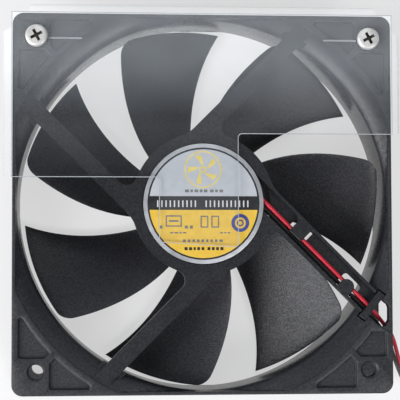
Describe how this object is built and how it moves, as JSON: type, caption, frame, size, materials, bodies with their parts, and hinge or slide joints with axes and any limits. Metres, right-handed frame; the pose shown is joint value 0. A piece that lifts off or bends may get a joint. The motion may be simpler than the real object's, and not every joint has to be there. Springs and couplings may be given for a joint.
{
  "type": "case fan",
  "caption": "Square axial case fan with a bladed impeller on a sleeve bearing, hub struts, a cable channel, a two-wire lead and a screwed-on clear air baffle.",
  "frame": {"origin": "on the rotor's axis, in the plane of the intake face, which rests on the floor", "axes": "+Z along the rotor's axis towards the label, struts and outlet; +X and +Y along the square sides, the lead leaves at +X"},
  "size_m": [0.1632, 0.1274, 0.028],
  "materials": {
    "frame_plastic": "black moulded PBT, fine matte texture",
    "impeller_plastic": "black moulded PBT, satin",
    "label_foil": "printed silver and gold foil label",
    "red_insulation": "red PVC wire insulation",
    "black_insulation": "black PVC wire insulation",
    "clear_film": "clear smoky PET sheet",
    "screw_steel": "nickel-plated steel",
    "steel": "bright steel",
    "brass": "turned brass",
    "sintered_bronze": "oil-filled sintered bronze",
    "magnet": "plastic-bonded ferrite",
    "laminations": "stacked silicon steel",
    "insulator_nylon": "natural nylon",
    "copper": "enamelled copper wire",
    "board": "paper-phenolic circuit board",
    "component": "moulded epoxy",
    "connector_nylon": "natural nylon",
    "tinned_metal": "tinned brass strip",
    "tie": "natural nylon strap",
    "seal_rubber": "black rubber"
  },
  "bodies": {
    "housing": {"fan_frame": "frame_plastic", "thrust_washer_lower": "insulator_nylon", "thrust_washer_upper": "insulator_nylon", "bearing_tube": "brass", "sleeve_bearing": "sintered_bronze", "stator_core": "laminations", "insulator_upper": "insulator_nylon", "insulator_lower": "insulator_nylon", "coil_winding_1": "copper", "coil_winding_2": "copper", "coil_winding_3": "copper", "coil_winding_4": "copper", "winding_pin_1": "tinned_metal", "winding_pin_2": "tinned_metal", "winding_pin_3": "tinned_metal", "circuit_board": "board", "driver_chip": "component", "capacitor": "component", "diode": "component", "resistor": "component", "hall_sensor": "component", "hub_label": "label_foil", "air_baffle": "clear_film", "baffle_screw_left": "screw_steel", "baffle_screw_right": "screw_steel", "lead_red_held": "red_insulation", "lead_black_held": "black_insulation", "lead_red": "red_insulation", "lead_black": "black_insulation", "lead_red_tail": "red_insulation", "lead_black_tail": "black_insulation", "lead_coil": "red_insulation", "coil_tie": "tie", "connector_housing": "connector_nylon", "crimp_terminal_red": "tinned_metal", "crimp_terminal_black": "tinned_metal"},
    "rotor": {"impeller": "impeller_plastic", "rotor_yoke": "steel", "magnet_ring": "magnet", "shaft": "steel", "shaft_boss": "brass", "retaining_clip": "steel", "oil_slinger": "seal_rubber"}
  },
  "joints": [
    {"name": "rotor_spin", "type": "hinge", "parent": "housing", "child": "rotor", "pos_m": [0, 0, 0], "axis": [0, 0, 1], "continuous": true}
  ]
}
